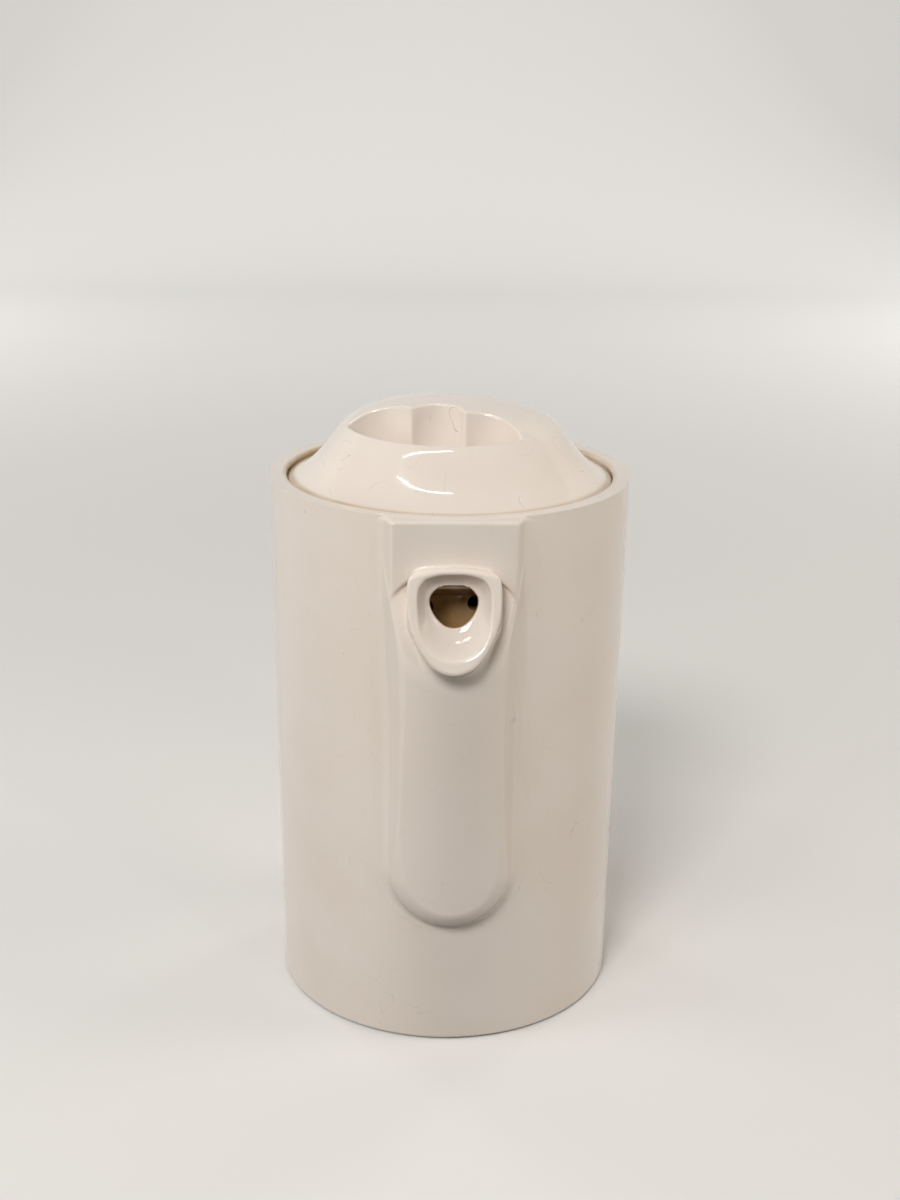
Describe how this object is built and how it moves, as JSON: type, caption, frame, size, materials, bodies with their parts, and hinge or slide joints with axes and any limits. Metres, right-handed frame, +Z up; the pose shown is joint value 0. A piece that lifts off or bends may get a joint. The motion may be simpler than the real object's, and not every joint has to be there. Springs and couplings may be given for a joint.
{
  "type": "insulated coffee pot",
  "caption": "Double-walled ceramic coffee pot with a low beaked spout, a loop handle and a lift-out turning lid with finger wells.",
  "frame": {"origin": "centre of the underside, on the plane the foot ring stands on", "axes": "+Z up along the pot's axis, -Y towards the spout, +Y towards the handle, +X to the right when the spout faces the viewer"},
  "size_m": [0.12, 0.1801, 0.2068],
  "materials": {
    "glaze": "glossy warm white glaze",
    "vessel_glaze": "glossy glaze, tinted by coffee",
    "lid_glaze": "glossy warm white glaze",
    "foam": "rigid closed-cell foam",
    "disc": "matte moulded plastic",
    "rubber": "matte rubber",
    "silicone": "translucent silicone"
  },
  "bodies": {
    "pot": {"outer_jacket": "glaze", "inner_vessel": "vessel_glaze", "spout": "glaze", "spout_sleeve": "glaze", "handle": "glaze", "insulation": "foam", "base_disc": "disc", "vent_plug": "rubber"},
    "seal_ring": {"lid_seal": "silicone"},
    "lid": {"lid_shell": "lid_glaze", "lid_base": "lid_glaze", "lid_insulation": "foam"}
  },
  "joints": [
    {"name": "lid_lift", "type": "slide", "parent": "pot", "child": "seal_ring", "axis": [0, 0, 1], "range_m": [0, 0.06]},
    {"name": "lid_turn", "type": "hinge", "parent": "seal_ring", "child": "lid", "pos_m": [0, 0, 0.1789], "axis": [0, 0, 1], "range_deg": [-70.5, 0]}
  ]
}
